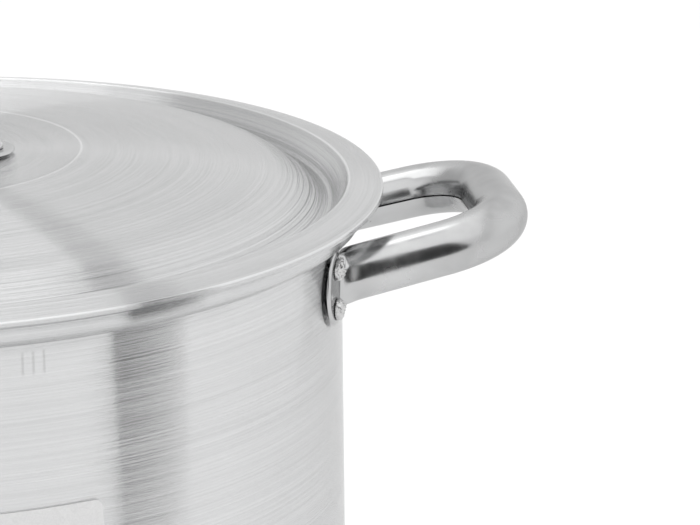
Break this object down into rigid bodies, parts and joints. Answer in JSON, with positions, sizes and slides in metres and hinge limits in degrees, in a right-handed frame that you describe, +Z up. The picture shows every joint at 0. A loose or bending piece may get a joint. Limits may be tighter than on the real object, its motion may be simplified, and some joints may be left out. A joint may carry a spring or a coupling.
{
  "type": "stockpot",
  "caption": "Large spun aluminium stockpot with a rolled rim, a loose lid that drops over it and riveted tubular handles.",
  "frame": {"origin": "centre of the flat base, on the surface that the pot stands on", "axes": "+Z up along the pot's axis, +X through the right side handle, +Y to the rear"},
  "size_m": [0.5684, 0.4372, 0.4229],
  "materials": {
    "body_aluminium": "satin, brushed round the wall",
    "lid_aluminium": "satin, spun in fine rings",
    "handle_metal": "polished tube, satin at the bends",
    "rivet_metal": "bright, hammered",
    "label_film": "thin blank film sticker"
  },
  "bodies": {
    "pot": {"pot_body": "body_aluminium", "body_label": "label_film", "right_handle": "handle_metal", "left_handle": "handle_metal", "right_handle_rivet_front_upper": "rivet_metal", "right_handle_rivet_front_lower": "rivet_metal", "right_handle_rivet_rear_upper": "rivet_metal", "right_handle_rivet_rear_lower": "rivet_metal", "left_handle_rivet_front_upper": "rivet_metal", "left_handle_rivet_front_lower": "rivet_metal", "left_handle_rivet_rear_upper": "rivet_metal", "left_handle_rivet_rear_lower": "rivet_metal"},
    "lid": {"lid": "lid_aluminium", "lid_handle": "handle_metal", "lid_handle_rivet_left": "rivet_metal", "lid_handle_rivet_right": "rivet_metal"}
  },
  "joints": [
    {"name": "lid_lift", "type": "slide", "parent": "pot", "child": "lid", "axis": [0, 0, 1], "range_m": [0, 0.2]}
  ]
}
